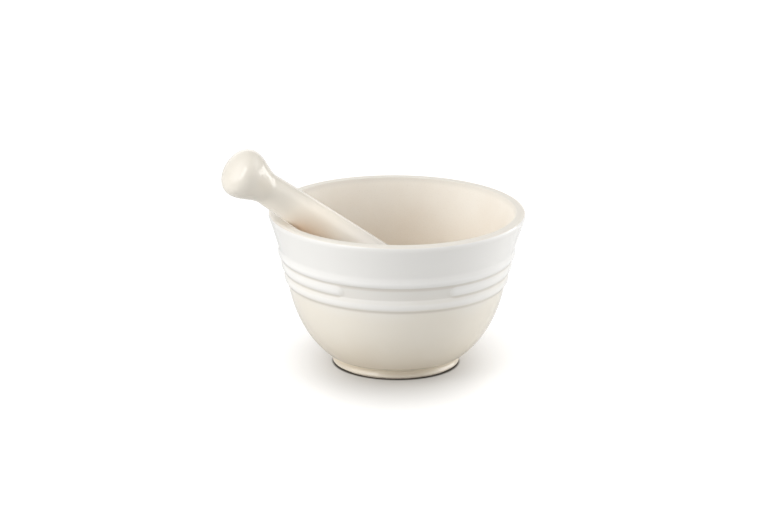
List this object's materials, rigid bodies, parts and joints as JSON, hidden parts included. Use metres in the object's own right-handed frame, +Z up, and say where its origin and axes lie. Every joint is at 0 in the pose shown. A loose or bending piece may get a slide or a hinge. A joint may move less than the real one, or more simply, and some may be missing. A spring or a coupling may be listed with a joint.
{
  "type": "mortar and pestle",
  "caption": "Kitchen mortar: flared round ribbed stoneware bowl with a small foot and bare inside, and a glazed pestle with a knob handle leaning on its rim.",
  "frame": {"origin": "bottom centre of the box around the bowl and its leaning pestle, on the surface that the foot stands on; the bowl's own axis is at x = 0.0133 m, y = 0", "axes": "+Z up along the bowl's axis; -X towards the side where the pestle's knob overhangs the rim; -Y towards the front, where the plain panel interrupts the middle rib"},
  "size_m": [0.1767, 0.15, 0.1381],
  "materials": {
    "mortar_glaze": "gloss cream glaze outside; the inside, the ground rim face and the foot face are bare sand-coloured stoneware",
    "pestle_glaze": "gloss cream glaze on knob and shaft; the grinding head is bare stoneware"
  },
  "bodies": {
    "mortar_body": {"mortar": "mortar_glaze"},
    "pestle_body": {"pestle": "pestle_glaze"}
  },
  "joints": [
    {"name": "pestle_lift", "type": "slide", "parent": "mortar_body", "child": "pestle_body", "axis": [0, 0, 1], "range_m": [0, 0.12]}
  ]
}
